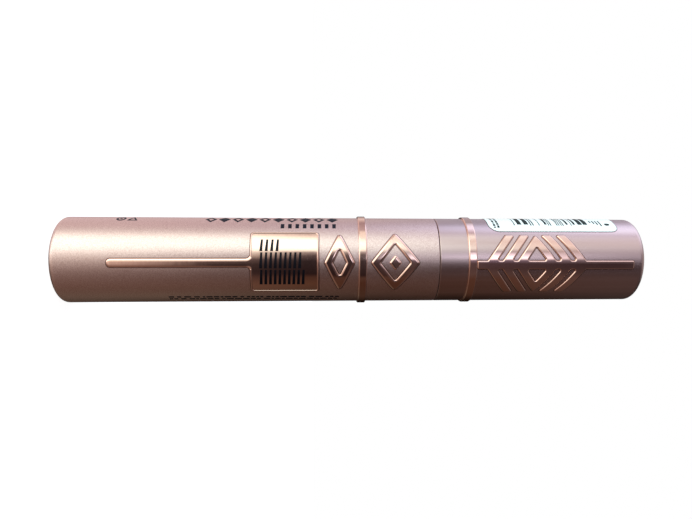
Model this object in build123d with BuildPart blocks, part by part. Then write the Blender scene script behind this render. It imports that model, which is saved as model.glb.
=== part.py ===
from build123d import *
import math
import os

# A mascara tube: a bottle with a screw neck and a wiper, and a cap that carries the stem and brush.
# It stands on its base. +Z runs up the axis to the cap's closed end, -Y is the front, and the origin
# is the centre of the base. Lengths are in millimetres and angles in degrees.

# Outside shape: one long slim cone, parted at the seam
TOTAL_LENGTH = 132.6
BASE_RADIUS = 9.95
TOP_RADIUS = 9.53
SEAM_HEIGHT = 85.8
SEAM_GAP = 0.15
END_ROUND = 1.3
SEAM_ROUND = 0.2

# Sleeve and base
SLEEVE_BORE = 8.4
SLEEVE_FLOOR = 1.8
RECESS_RADIUS = 7.0
RECESS_DEPTH = 0.4
BASE_LABEL_RADIUS = 6.8
LABEL_THICKNESS = 0.1
LOCATING_RING_RADII = (7.25, 8.0)
LOCATING_RING_HEIGHT = 2.5

# Inner vial and its neck. A bead on the vial's flange snaps into a groove in the sleeve.
VIAL_RADIUS = 7.2
VIAL_BORE = 6.0
VIAL_FLOOR = 1.2
VIAL_BORE_TOP = 80.5
FLANGE_RADIUS = 8.36
FLANGE_BOTTOM = 78.5
FLANGE_TOP = SEAM_HEIGHT - 0.4
SNAP_HEIGHT = 81.4
SNAP_BEAD = 0.16
SNAP_LENGTH = 1.2
SNAP_CLEARANCE = 0.04
NECK_RADIUS = 5.7
NECK_BORE = 4.4
NECK_BORE_BOTTOM = 84.5
NECK_TOP = 97.5
NECK_ROUND = 0.25

# Screw thread: the cap rises one pitch for each turn
PITCH = 2.8
THREAD_START = 88.0
NECK_THREAD_TURNS = 1.5
NECK_THREAD_CREST = 6.6
CAP_THREAD_TURNS = 1.25
CAP_THREAD_CREST = 6.0
TOOTH_ROOT = 1.3
TOOTH_CREST = 0.7
TOOTH_SINK = 0.2

# Wiper: a flange on the neck, a sleeve inside it and a cone down to the lip that strips the brush
WIPER_RADIUS = 4.35
WIPER_BORE = 3.3
WIPER_FLANGE_RADIUS = 5.4
WIPER_FLANGE = 0.5
WIPER_CONE_TOP = 91.0
WIPER_LIP = 86.2
WIPER_LIP_BORE = 2.08
WIPER_LIP_WALL = 0.45

# Seal ring between the wiper's flange and the liner's ceiling
SEAL_RADII = (2.5, 5.3)
SEAL_THICKNESS = 0.7
SEAL_PLAY = 0.05
SEAL_BOTTOM = NECK_TOP + WIPER_FLANGE + SEAL_PLAY
CEILING = SEAL_BOTTOM + SEAL_THICKNESS + 2 * SEAL_PLAY

# Cap shell, and the threaded liner that holds the stem inside it
CAP_BORE = 8.1
CAP_UPPER_BORE = 7.7
CAP_END_WALL = 1.6
LINER_RADIUS = 8.06
LINER_BORE = 6.85
LINER_BOTTOM = SEAM_HEIGHT + 0.5
LINER_TOP = 100.4
BOSS_RADIUS = 4.0
BOSS_TOP = 108.2
RIB_COUNT = 4
RIB_THICKNESS = 1.0
RIB_HEIGHT = 3.0
RIB_START = 3.6
RIB_REACH = 7.4

# Stem and brush
STEM_RADIUS = 2.0
STEM_BOTTOM = 35.5
STEM_HEAD_RADIUS = 2.2
STEM_HEAD_TOP = 107.0
STEM_ROUND = 0.4
SHANK_RADIUS = 0.93
SHANK_BORE = 0.95
SHANK_LENGTH = 7.0
COLLAR_RADIUS = 1.5
COLLAR_LENGTH = 1.2
CORE_TIP = 6.5
CORE_TIP_RADIUS = 0.65
CORE_TOP_RADIUS = 1.2
BRISTLE_BOTTOM = 8.2
BRISTLE_ROWS = 26
BRISTLE_PITCH = 1.0
BRISTLE_DISC = 0.35
BRISTLE_GAP = 0.02
BRISTLE_TIP_RADIUS = 1.9
BRISTLE_TOP_RADIUS = 3.1

# Mascara on the vial's wall, around the channel that the brush keeps open
FILL_TOP = 76.0
FILL_CHANNEL = 3.7
FILL_FLOOR = 4.8

# Raised foil ornament on the front. Angles run around the surface from the front, towards -X.
RELIEF_HEIGHT = 0.3
RELIEF_HALF_ANGLE = 41.8
LINE_WIDTH = 1.9
STROKE = 1.75
BOTTLE_BAND = (67.75, 69.6)
BOTTLE_BAND_HEIGHT = 0.42
BOTTLE_LINE_START = 12.7
PLAQUE = (43.8, 58.9)
PLAQUE_CORNER = 0.7
SMALL_DIAMOND = (60.1, 66.9)
LARGE_DIAMOND = (70.4, 81.4)
DIAMOND_CORE_SHARE = 0.26
CAP_TURN = -3.0  # the closed cap stops this far round from the bottle's front
CAP_BAND = (92.3, 94.15)
CAP_BAND_HEIGHT = 0.36
CAP_LINE_END = 129.8
CAP_DIAMOND = (102.6, 112.7)
CHEVRON_STEPS = (3.4, 6.8)  # how far each chevron stands out from the cap's diamond, along the axis

# Paper label stuck round the side of the cap
CAP_LABEL = (97.7, 127.4)
CAP_LABEL_ANGLES = (45.5, 175.0)


def outer_radius(height):
    """Radius of the outside cone at a height."""
    return BASE_RADIUS + (TOP_RADIUS - BASE_RADIUS) * height / TOTAL_LENGTH


def core_radius(height):
    """Radius of the brush's core, which widens from its tip to the stem."""
    share = (height - CORE_TIP) / (STEM_BOTTOM - CORE_TIP)
    return CORE_TIP_RADIUS + (CORE_TOP_RADIUS - CORE_TIP_RADIUS) * share


def degrees_of(arc, height):
    """Angle that a length of arc takes on the outside surface."""
    return math.degrees(arc / outer_radius(height))


def front_plane(angle):
    """Plane through the axis that faces out at an angle from the front, with local Y up."""
    turn = math.radians(angle)
    across = (math.cos(turn), -math.sin(turn), 0)
    outwards = (-math.sin(turn), -math.cos(turn), 0)
    return Plane(origin=(0, 0, 0), x_dir=across, z_dir=outwards)


def radial_plane(angle):
    """Plane through the axis whose local X points outwards at an angle from the front."""
    turn = math.radians(angle)
    outwards = (-math.sin(turn), -math.cos(turn), 0)
    return Plane(origin=(0, 0, 0), x_dir=outwards, z_dir=(outwards[1], -outwards[0], 0))


def skin_section(plane, low, high, thickness):
    """Section, in a plane through the axis, of a skin on the outside cone between two heights."""
    inner_low = outer_radius(low)
    inner_high = outer_radius(high)
    with BuildSketch(plane) as section:
        with BuildLine():
            Polyline(
                (inner_low, low),
                (inner_low + thickness, low),
                (inner_high + thickness, high),
                (inner_high, high),
                close=True,
            )
        make_face()
    return section.sketch


def skin_patch(low, high, thickness, start, end):
    """Adds a patch of skin between two heights and two angles to the part being built."""
    section = skin_section(radial_plane(end), low, high, thickness)
    revolve(section, axis=Axis.Z, revolution_arc=end - start)


def keep_within_skin(low, high, thickness):
    """Keeps only what lies in the skin between two heights of the part being built."""
    section = skin_section(Plane.XZ, low, high, thickness)
    revolve(section, axis=Axis.Z, mode=Mode.INTERSECT)


def front_reach(height):
    """How far the ornament reaches to each side, seen straight from the front."""
    return outer_radius(height) * math.sin(math.radians(RELIEF_HALF_ANGLE))


def diamond_corners(low, high, share):
    """Corners of a diamond on the front between two heights, at a share of its full size."""
    middle = (low + high) / 2
    reach = front_reach(middle) * share
    half = (high - low) / 2 * share
    return (reach, middle), (0, middle + half), (-reach, middle), (0, middle - half)


def chevron_corners(side, step):
    """Corners of a chevron parallel to the cap's diamond, above it (side 1) or below it (side -1)."""
    middle = (CAP_DIAMOND[0] + CAP_DIAMOND[1]) / 2
    reach = front_reach(middle)
    half = (CAP_DIAMOND[1] - CAP_DIAMOND[0]) / 2
    breadth = STROKE * math.hypot(reach, half) / reach
    wing = middle + side * step
    apex = wing + side * half
    inside = side * breadth
    return (
        (reach, wing),
        (0, apex),
        (-reach, wing),
        (-reach, wing - inside),
        (0, apex - inside),
        (reach, wing - inside),
    )


def thread(radius, crest, height, turns):
    """Adds one helical tooth whose root is sunk a little into the wall it stands on."""
    sunk = math.copysign(TOOTH_SINK, radius - crest)
    path = Helix(pitch=PITCH, height=PITCH * turns, radius=radius, center=(0, 0, height), mode=Mode.PRIVATE)
    with BuildSketch(Plane(origin=(radius, 0, height), x_dir=(1, 0, 0), z_dir=path % 0)) as tooth:
        with BuildLine():
            Polyline(
                (sunk, -TOOTH_ROOT / 2),
                (sunk, TOOTH_ROOT / 2),
                (crest - radius, TOOTH_CREST / 2),
                (crest - radius, -TOOTH_CREST / 2),
                close=True,
            )
        make_face()
    sweep(tooth.sketch, path=path, is_frenet=True)


def finish(builder, label):
    """Names a finished piece and writes its file."""
    builder.part.label = label
    export_step(builder.part, f"parts/{label}.step")


os.makedirs("parts", exist_ok=True)

# Bottle: outer sleeve
with BuildPart() as bottle_sleeve:
    with BuildSketch(Plane.XZ):
        with BuildLine():
            Polyline(
                (0, RECESS_DEPTH),
                (RECESS_RADIUS, RECESS_DEPTH),
                (RECESS_RADIUS, 0),
                (outer_radius(0), 0),
                (outer_radius(SEAM_HEIGHT), SEAM_HEIGHT),
                (SLEEVE_BORE, SEAM_HEIGHT),
                (SLEEVE_BORE, SLEEVE_FLOOR),
                (0, SLEEVE_FLOOR),
                close=True,
            )
        make_face()
        corners = vertices().sort_by(Axis.X)
        fillet(corners[-1], radius=END_ROUND)
        fillet(vertices().group_by(Axis.Y)[-1].sort_by(Axis.X)[-1], radius=SEAM_ROUND)
    revolve(axis=Axis.Z)
    with BuildSketch(Plane.XY.offset(SLEEVE_FLOOR)):
        Circle(LOCATING_RING_RADII[1])
        Circle(LOCATING_RING_RADII[0], mode=Mode.SUBTRACT)
    extrude(amount=LOCATING_RING_HEIGHT)
    with BuildSketch(Plane.XY.offset(SNAP_HEIGHT)):
        Circle(FLANGE_RADIUS + SNAP_BEAD + SNAP_CLEARANCE)
    extrude(amount=SNAP_LENGTH / 2, both=True, mode=Mode.SUBTRACT)
finish(bottle_sleeve, "bottle_sleeve")

# Bottle: inner vial with its flange, neck and thread
with BuildPart() as inner_vial:
    with BuildSketch(Plane.XZ):
        with BuildLine():
            Polyline(
                (0, SLEEVE_FLOOR),
                (VIAL_RADIUS, SLEEVE_FLOOR),
                (VIAL_RADIUS, FLANGE_BOTTOM),
                (FLANGE_RADIUS, FLANGE_BOTTOM),
                (FLANGE_RADIUS, SNAP_HEIGHT - SNAP_LENGTH / 2 + SNAP_BEAD),
                (FLANGE_RADIUS + SNAP_BEAD, SNAP_HEIGHT),
                (FLANGE_RADIUS, SNAP_HEIGHT + SNAP_LENGTH / 2 - SNAP_BEAD),
                (FLANGE_RADIUS, FLANGE_TOP),
                (NECK_RADIUS, FLANGE_TOP),
                (NECK_RADIUS, NECK_TOP),
                (NECK_BORE, NECK_TOP),
                (NECK_BORE, NECK_BORE_BOTTOM),
                (VIAL_BORE, VIAL_BORE_TOP),
                (VIAL_BORE, SLEEVE_FLOOR + VIAL_FLOOR),
                (0, SLEEVE_FLOOR + VIAL_FLOOR),
                close=True,
            )
        make_face()
        fillet(vertices().group_by(Axis.Y)[-1].sort_by(Axis.X)[-1], radius=NECK_ROUND)
    revolve(axis=Axis.Z)
    thread(NECK_RADIUS, NECK_THREAD_CREST, THREAD_START, NECK_THREAD_TURNS)
finish(inner_vial, "inner_vial")

# Bottle: mascara
with BuildPart() as mascara_fill:
    with BuildSketch(Plane.XY.offset(SLEEVE_FLOOR + VIAL_FLOOR)):
        Circle(VIAL_BORE)
    extrude(amount=FILL_TOP - SLEEVE_FLOOR - VIAL_FLOOR)
    with BuildSketch(Plane.XY.offset(FILL_FLOOR)):
        Circle(FILL_CHANNEL)
    extrude(amount=FILL_TOP, mode=Mode.SUBTRACT)
finish(mascara_fill, "mascara_fill")

# Bottle: label in the recess of the base
with BuildPart() as base_label:
    with BuildSketch(Plane.XY.offset(RECESS_DEPTH - LABEL_THICKNESS)):
        Circle(BASE_LABEL_RADIUS)
    extrude(amount=LABEL_THICKNESS)
finish(base_label, "base_label")

# Bottle: foil band, line and plaque
with BuildPart() as bottle_band:
    skin_patch(*BOTTLE_BAND, BOTTLE_BAND_HEIGHT, 0, 360)
finish(bottle_band, "bottle_band")

with BuildPart() as bottle_line:
    half_line = degrees_of(LINE_WIDTH / 2, BOTTLE_LINE_START)
    skin_patch(BOTTLE_LINE_START, PLAQUE[0], RELIEF_HEIGHT, -half_line, half_line)
finish(bottle_line, "bottle_line")

with BuildPart() as bottle_plaque:
    skin_patch(*PLAQUE, RELIEF_HEIGHT, -RELIEF_HALF_ANGLE, RELIEF_HALF_ANGLE)
    side_edges = edges().filter_by(lambda edge: edge.length < RELIEF_HEIGHT * 1.1)
    fillet(side_edges, radius=PLAQUE_CORNER)
finish(bottle_plaque, "bottle_plaque")

# Bottle: two foil diamonds
with BuildPart() as small_diamond:
    with BuildSketch(Plane.XZ):
        Polygon(*diamond_corners(*SMALL_DIAMOND, 1), align=None)
        offset(amount=-STROKE, kind=Kind.INTERSECTION, mode=Mode.SUBTRACT)
    extrude(amount=BASE_RADIUS + 1)
    keep_within_skin(*SMALL_DIAMOND, RELIEF_HEIGHT)
finish(small_diamond, "small_diamond")

with BuildPart() as large_diamond:
    with BuildSketch(Plane.XZ):
        Polygon(*diamond_corners(*LARGE_DIAMOND, 1), align=None)
        offset(amount=-STROKE, kind=Kind.INTERSECTION, mode=Mode.SUBTRACT)
        Polygon(*diamond_corners(*LARGE_DIAMOND, DIAMOND_CORE_SHARE), align=None)
    extrude(amount=BASE_RADIUS + 1)
    keep_within_skin(*LARGE_DIAMOND, RELIEF_HEIGHT)
finish(large_diamond, "large_diamond")

# Wiper in the neck
with BuildPart() as wiper:
    with BuildSketch(Plane.XZ):
        with BuildLine():
            Polyline(
                (WIPER_BORE, NECK_TOP + WIPER_FLANGE),
                (WIPER_FLANGE_RADIUS, NECK_TOP + WIPER_FLANGE),
                (WIPER_FLANGE_RADIUS, NECK_TOP),
                (WIPER_RADIUS, NECK_TOP),
                (WIPER_RADIUS, WIPER_CONE_TOP),
                (WIPER_LIP_BORE + WIPER_LIP_WALL, WIPER_LIP),
                (WIPER_LIP_BORE, WIPER_LIP),
                (WIPER_BORE, WIPER_CONE_TOP),
                close=True,
            )
        make_face()
    revolve(axis=Axis.Z)
finish(wiper, "wiper")

# Seal ring on the wiper
with BuildPart() as seal_ring:
    with BuildSketch(Plane.XY.offset(SEAL_BOTTOM)):
        Circle(SEAL_RADII[1])
        Circle(SEAL_RADII[0], mode=Mode.SUBTRACT)
    extrude(amount=SEAL_THICKNESS)
finish(seal_ring, "seal_ring")

# Cap: outer shell
with BuildPart() as cap_shell:
    with BuildSketch(Plane.XZ):
        with BuildLine():
            Polyline(
                (CAP_BORE, SEAM_HEIGHT + SEAM_GAP),
                (outer_radius(SEAM_HEIGHT + SEAM_GAP), SEAM_HEIGHT + SEAM_GAP),
                (outer_radius(TOTAL_LENGTH), TOTAL_LENGTH),
                (0, TOTAL_LENGTH),
                (0, TOTAL_LENGTH - CAP_END_WALL),
                (CAP_UPPER_BORE, TOTAL_LENGTH - CAP_END_WALL),
                (CAP_UPPER_BORE, LINER_TOP),
                (CAP_BORE, LINER_TOP),
                close=True,
            )
        make_face()
        fillet(vertices().group_by(Axis.Y)[0].sort_by(Axis.X)[-1], radius=SEAM_ROUND)
        fillet(vertices().group_by(Axis.Y)[-1].sort_by(Axis.X)[-1], radius=END_ROUND)
    revolve(axis=Axis.Z)
finish(cap_shell, "cap_shell")

# Cap: threaded liner with the boss that grips the stem's head
with BuildPart() as cap_liner:
    with BuildSketch(Plane.XZ):
        with BuildLine():
            Polyline(
                (LINER_BORE, LINER_BOTTOM),
                (LINER_RADIUS, LINER_BOTTOM),
                (LINER_RADIUS, LINER_TOP),
                (BOSS_RADIUS, LINER_TOP),
                (BOSS_RADIUS, BOSS_TOP),
                (0, BOSS_TOP),
                (0, STEM_HEAD_TOP),
                (STEM_HEAD_RADIUS, STEM_HEAD_TOP),
                (STEM_HEAD_RADIUS, CEILING),
                (LINER_BORE, CEILING),
                close=True,
            )
        make_face()
    revolve(axis=Axis.Z)
    with BuildSketch(Plane.XY.offset(LINER_TOP)):
        with PolarLocations((RIB_START + RIB_REACH) / 2, RIB_COUNT):
            Rectangle(RIB_REACH - RIB_START, RIB_THICKNESS)
    extrude(amount=RIB_HEIGHT)
    thread(LINER_BORE, CAP_THREAD_CREST, THREAD_START + PITCH / 2, CAP_THREAD_TURNS)
finish(cap_liner, "cap_liner")

# Cap: foil band, and one piece of foil relief with a line, a diamond and chevrons
with BuildPart() as cap_band:
    skin_patch(*CAP_BAND, CAP_BAND_HEIGHT, 0, 360)
finish(cap_band, "cap_band")

with BuildPart() as cap_relief:
    with BuildSketch(front_plane(CAP_TURN)):
        Polygon(*diamond_corners(*CAP_DIAMOND, 1), align=None)
        offset(amount=-STROKE, kind=Kind.INTERSECTION, mode=Mode.SUBTRACT)
        for side in (-1, 1):
            for step in CHEVRON_STEPS:
                Polygon(*chevron_corners(side, step), align=None)
    extrude(amount=BASE_RADIUS + 1)
    keep_within_skin(CAP_BAND[1], CAP_LINE_END, RELIEF_HEIGHT)
    half_line = degrees_of(LINE_WIDTH / 2, CAP_LINE_END)
    skin_patch(CAP_BAND[1], CAP_LINE_END, RELIEF_HEIGHT, CAP_TURN - half_line, CAP_TURN + half_line)
finish(cap_relief, "cap_relief")

# Cap: paper label
with BuildPart() as cap_label:
    skin_patch(*CAP_LABEL, LABEL_THICKNESS, *CAP_LABEL_ANGLES)
finish(cap_label, "cap_label")

# Wand: stem with a head pressed into the boss and a socket for the brush
with BuildPart() as stem:
    with BuildSketch(Plane.XZ):
        with BuildLine():
            Polyline(
                (0, STEM_HEAD_TOP),
                (STEM_HEAD_RADIUS, STEM_HEAD_TOP),
                (STEM_HEAD_RADIUS, CEILING),
                (STEM_RADIUS, CEILING),
                (STEM_RADIUS, STEM_BOTTOM),
                (SHANK_BORE, STEM_BOTTOM),
                (SHANK_BORE, STEM_BOTTOM + SHANK_LENGTH),
                (0, STEM_BOTTOM + SHANK_LENGTH),
                close=True,
            )
        make_face()
        fillet(vertices().group_by(Axis.Y)[0].sort_by(Axis.X)[-1], radius=STEM_ROUND)
    revolve(axis=Axis.Z)
finish(stem, "stem")

# Wand: brush core with its shank in the stem
with BuildPart() as brush_core:
    collar_bottom = STEM_BOTTOM - COLLAR_LENGTH
    with BuildSketch(Plane.XZ):
        with BuildLine():
            Polyline(
                (0, CORE_TIP),
                (CORE_TIP_RADIUS, CORE_TIP),
                (core_radius(collar_bottom), collar_bottom),
                (COLLAR_RADIUS, collar_bottom),
                (COLLAR_RADIUS, STEM_BOTTOM),
                (SHANK_RADIUS, STEM_BOTTOM),
                (SHANK_RADIUS, STEM_BOTTOM + SHANK_LENGTH),
                (0, STEM_BOTTOM + SHANK_LENGTH),
                close=True,
            )
        make_face()
        fillet(vertices().group_by(Axis.Y)[0].sort_by(Axis.X)[-1], radius=CORE_TIP_RADIUS * 0.8)
    revolve(axis=Axis.Z)
finish(brush_core, "brush_core")

# Wand: bristles as thin discs that stand for rows
with BuildPart() as bristles:
    for row in range(BRISTLE_ROWS):
        height = BRISTLE_BOTTOM + BRISTLE_PITCH * row
        reach = BRISTLE_TIP_RADIUS + (BRISTLE_TOP_RADIUS - BRISTLE_TIP_RADIUS) * row / (BRISTLE_ROWS - 1)
        with BuildSketch(Plane.XY.offset(height)):
            Circle(reach)
            Circle(core_radius(height + BRISTLE_DISC) + BRISTLE_GAP, mode=Mode.SUBTRACT)
        extrude(amount=BRISTLE_DISC)
finish(bristles, "bristles")
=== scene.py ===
import math
import random

import bmesh
import bpy
from mathutils import Matrix, Vector


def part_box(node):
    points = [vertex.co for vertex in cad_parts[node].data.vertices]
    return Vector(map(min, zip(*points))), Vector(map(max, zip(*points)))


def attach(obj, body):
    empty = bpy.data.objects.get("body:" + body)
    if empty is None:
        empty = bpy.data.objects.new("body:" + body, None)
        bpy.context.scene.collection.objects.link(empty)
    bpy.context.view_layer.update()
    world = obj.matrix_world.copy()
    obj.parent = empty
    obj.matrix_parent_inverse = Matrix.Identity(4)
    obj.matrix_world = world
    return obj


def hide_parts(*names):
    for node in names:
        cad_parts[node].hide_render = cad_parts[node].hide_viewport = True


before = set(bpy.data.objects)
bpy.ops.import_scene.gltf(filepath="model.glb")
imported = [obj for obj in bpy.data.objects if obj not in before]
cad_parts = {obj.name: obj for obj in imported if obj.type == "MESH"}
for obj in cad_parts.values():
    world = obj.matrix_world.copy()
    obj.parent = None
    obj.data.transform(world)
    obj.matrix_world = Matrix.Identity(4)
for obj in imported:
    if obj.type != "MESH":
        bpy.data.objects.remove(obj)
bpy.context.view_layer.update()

# The tube stands upright with its front, where the raised foil is, at -Y. Places round the surface
# are angles from the front towards -X, or lengths of arc from the front, counted the same way.

MM = 0.001


def mm(*sizes):
    """Sizes given in millimetres, as a list in metres."""
    return [size * MM for size in sizes]


# The outside cone and the rounding of its ends
BASE_RADIUS = 9.95 * MM
TOP_RADIUS = 9.53 * MM
END_ROUND = 1.3 * MM
SEAM_ROUND = 0.13 * MM
SHELL_SEGMENTS = 256
THREADED_SEGMENTS = 160

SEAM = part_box("bottle_sleeve")[1].z
CAP_LOW, CAP_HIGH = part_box("cap_shell")
LENGTH = CAP_HIGH.z
CONE_SLOPE = (BASE_RADIUS - TOP_RADIUS) / LENGTH

# The raised foil
RELIEF_HEIGHT = 0.3 * MM
RELIEF_SINK = 0.06 * MM  # how far it goes into the shell
RELIEF_BEVEL = 0.3 * MM
DOMED_BEVEL = 0.55 * MM
RELIEF_HALF_ANGLE = math.radians(41.8)
STROKE = 1.75 * MM
LINE_HALF = 0.98 * MM
CAP_TURN = math.radians(-3.0)
PLAQUE_RIM = 0.42 * MM
PANEL_HEIGHT = 0.17 * MM
BAND_ROUND = 0.3 * MM
CORNER = 0.35 * MM
# width of the dark strip painted round the foil as shade
SHADE_STRIP_WIDTH = 0.16 * MM
BEND_STEP = 0.3 * MM
TOP_MARGIN = 0.0015 * MM

# Screw thread
PITCH = 2.8 * MM
TOOTH_ROOT = 1.3 * MM
TOOTH_CREST = 0.7 * MM
TOOTH_SINK = 0.25 * MM  # how far a tooth goes into its wall
TOOTH_ROUND = 0.12 * MM


def outer_radius(z):
    """Radius of the outside cone at a height."""
    return BASE_RADIUS - CONE_SLOPE * z


# ---------------- outlines


def arc_points(before, corner, after, radius, steps):
    """Points of the arc that rounds one corner of an outline."""
    to_before = before - corner
    to_after = after - corner
    half = to_before.angle(to_after) / 2
    if half > math.radians(89.5):
        return [corner]
    reach = min(radius / math.tan(half), 0.48 * to_before.length, 0.48 * to_after.length)
    radius = reach * math.tan(half)
    centre = corner + (to_before.normalized() + to_after.normalized()).normalized() * radius / math.sin(half)
    start = corner + to_before.normalized() * reach - centre
    sweep = math.pi - 2 * half
    if start.cross(to_before) > 0:
        sweep = -sweep
    arc = []
    for i in range(steps + 1):
        turn = Matrix.Rotation(sweep * i / steps, 2)
        arc.append(centre + turn @ start)
    return arc


def rounded(points, radii, steps=6):
    """A closed outline with its corners rounded. radii is one radius, or one for each corner."""
    corners = [Vector(p) for p in points]
    if not hasattr(radii, "__len__"):
        radii = [radii] * len(corners)
    outline = []
    for i, corner in enumerate(corners):
        if radii[i] == 0:
            outline.append(corner)
        else:
            following = corners[(i + 1) % len(corners)]
            outline += arc_points(corners[i - 1], corner, following, radii[i], steps)
    return outline


def box_outline(left, right, low, high):
    """Corners of an upright rectangle."""
    return [(left, low), (right, low), (right, high), (left, high)]


def ellipse_outline(s, z, width, height, steps=24):
    """Points of an ellipse around a centre."""
    outline = []
    for i in range(steps):
        turn = 2 * math.pi * i / steps
        outline.append((s + width / 2 * math.cos(turn), z + height / 2 * math.sin(turn)))
    return outline


def diamond_outline(middle, reach, half):
    """Corners of a diamond that is centred on the front."""
    return [(reach, middle), (0, middle + half), (-reach, middle), (0, middle - half)]


def signed_area(outline):
    """The area of an outline, positive if it runs anticlockwise."""
    total = 0
    for i, point in enumerate(outline):
        total += outline[i - 1][0] * point[1] - point[0] * outline[i - 1][1]
    return total / 2


def inset(outline, distance):
    """An outline moved to its left by a distance, mitred at its corners."""
    moved = []
    count = len(outline)
    for i in range(count):
        here = outline[i]
        ahead = (outline[(i + 1) % count] - here).normalized()
        behind = (here - outline[i - 1]).normalized()
        left = Vector((-behind.y, behind.x)) + Vector((-ahead.y, ahead.x))
        moved.append(here + left * distance / (1 + ahead.dot(behind)))
    return moved


def grown(loops, distance):
    """A shape, an outline and its holes, made larger all round by a distance."""
    shape = []
    for index, loop in enumerate(loops):
        inwards = -distance if index == 0 else distance
        shape.append(inset(loop, inwards if signed_area(loop) > 0 else -inwards))
    return shape


# ---------------- meshes


def add_piece(name, mesh, body, material, replaced=()):
    """Makes an object of a mesh and says which body it rides on and what it stands for."""
    piece = bpy.data.objects.new(name, mesh)
    bpy.context.scene.collection.objects.link(piece)
    mesh.materials.append(material)
    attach(piece, body)
    if replaced:
        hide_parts(*replaced)


def finish_mesh(bm, name, sharp_angle=32):
    """Turns a bmesh into a smooth-shaded mesh with its sharp edges marked."""
    bmesh.ops.recalc_face_normals(bm, faces=bm.faces)
    mesh = bpy.data.meshes.new(name)
    bm.to_mesh(mesh)
    bm.free()
    mesh.shade_smooth()
    mesh.set_sharp_from_angle(angle=math.radians(sharp_angle))
    return mesh


def join_rings(bm, rings):
    """Adds the faces between each ring of vertices and the next."""
    for lower, upper in zip(rings, rings[1:]):
        for i in range(len(lower)):
            j = (i + 1) % len(lower)
            bm.faces.new((lower[i], lower[j], upper[j], upper[i]))


def add_lathe(bm, profile, segments):
    """Adds a closed profile turned about the axis. A point on the axis becomes a single vertex."""
    rings = []
    for radius, z in profile:
        if radius < 1e-7:
            rings.append([bm.verts.new((0, 0, z))])
            continue
        ring = []
        for i in range(segments):
            angle = 2 * math.pi * i / segments
            ring.append(bm.verts.new((radius * math.cos(angle), radius * math.sin(angle), z)))
        rings.append(ring)
    for lower, upper in zip(rings, rings[1:] + rings[:1]):
        for i in range(segments):
            j = (i + 1) % segments
            if len(lower) == 1 and len(upper) == 1:
                break
            if len(lower) == 1:
                bm.faces.new((lower[0], upper[j], upper[i]))
            elif len(upper) == 1:
                bm.faces.new((lower[i], lower[j], upper[0]))
            else:
                bm.faces.new((lower[i], lower[j], upper[j], upper[i]))


def eased(profile):
    """A profile with a point just inside each end of its long runs, so that shading stays in the bends."""
    margin = 0.04 * MM
    outline = []
    count = len(profile)
    for i in range(count):
        here = Vector(profile[i])
        after = Vector(profile[(i + 1) % count])
        run = after - here
        outline.append(here)
        if run.length > 6 * margin and max(here.x, after.x) > 1e-7:
            step = run.normalized() * margin
            if here.x > 1e-7:
                outline.append(here + step)
            if after.x > 1e-7:
                outline.append(after - step)
    return outline


def turned(name, profile, body, material, replaced=(), segments=128):
    """A piece turned about the axis."""
    bm = bmesh.new()
    add_lathe(bm, eased(profile), segments)
    add_piece(name, finish_mesh(bm, name), body, material, replaced)


def add_thread(bm, root, crest, start, turns, steps_per_turn=96):
    """Adds a helical tooth whose two ends fade into the wall."""
    sunk = root - math.copysign(TOOTH_SINK, crest - root)
    steps = int(turns * steps_per_turn)
    fade = steps_per_turn / 6
    rings = []
    for i in range(steps + 1):
        angle = 2 * math.pi * i / steps_per_turn
        z = start + PITCH * i / steps_per_turn
        ease = min(1, i / fade, (steps - i) / fade)
        ease = math.sin(ease * math.pi / 2)
        tip = sunk + (crest - sunk) * ease
        section = rounded(
            [
                (sunk, z - TOOTH_ROOT / 2), (tip, z - TOOTH_CREST / 2 * ease),
                (tip, z + TOOTH_CREST / 2 * ease + 1e-6), (sunk, z + TOOTH_ROOT / 2),
            ],
            [0, TOOTH_ROUND * ease, TOOTH_ROUND * ease, 0],
            steps=3,
        )
        if len(section) < 10:
            section = [section[0]] + [section[1]] * 4 + [section[2]] * 4 + [section[3]]
        rings.append([bm.verts.new((r * math.cos(angle), r * math.sin(angle), h)) for r, h in section])
    join_rings(bm, rings)
    bm.faces.new(rings[0])
    bm.faces.new(rings[-1])


def cut(bm, place, normal, **settings):
    """Cuts all of a bmesh along a plane."""
    everything = bm.verts[:] + bm.edges[:] + bm.faces[:]
    bmesh.ops.bisect_plane(bm, geom=everything, dist=1e-8, plane_co=place, plane_no=normal, **settings)


def relief_shape(loops, height, bevel, base, end):
    """A flat raised shape, an outline and its holes, as a bmesh with rounded upper edges, cut off at end."""
    levels = [(0, -RELIEF_SINK)]
    bend_steps = 6 if bevel > 0 else 0
    for i in range(bend_steps):
        turn = math.pi / 2 * i / bend_steps
        levels.append((bevel * (1 - math.cos(turn)), height * math.sin(turn)))
    levels.append((bevel, height))
    bm = bmesh.new()
    rims = ([], [])
    for index, loop in enumerate(loops):
        loop = [Vector(p) for p in loop]
        if (signed_area(loop) > 0) != (index == 0):
            loop.reverse()
        rings = []
        for distance, level in levels:
            rings.append([bm.verts.new((p.x, p.y, base + level)) for p in inset(loop, distance)])
        join_rings(bm, rings)
        for rim, ring in zip(rims, (rings[0], rings[-1])):
            rim += [bm.edges.get((ring[i - 1], ring[i])) for i in range(len(loop))]
    for rim in rims:
        bmesh.ops.triangle_fill(bm, use_beauty=True, edges=rim)
    if end is not None:
        cut(bm, (0, end, 0), (0, 1, 0), clear_outer=True)
        bmesh.ops.triangle_fill(bm, use_beauty=True, edges=[e for e in bm.edges if e.is_boundary])
    return bm


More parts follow.
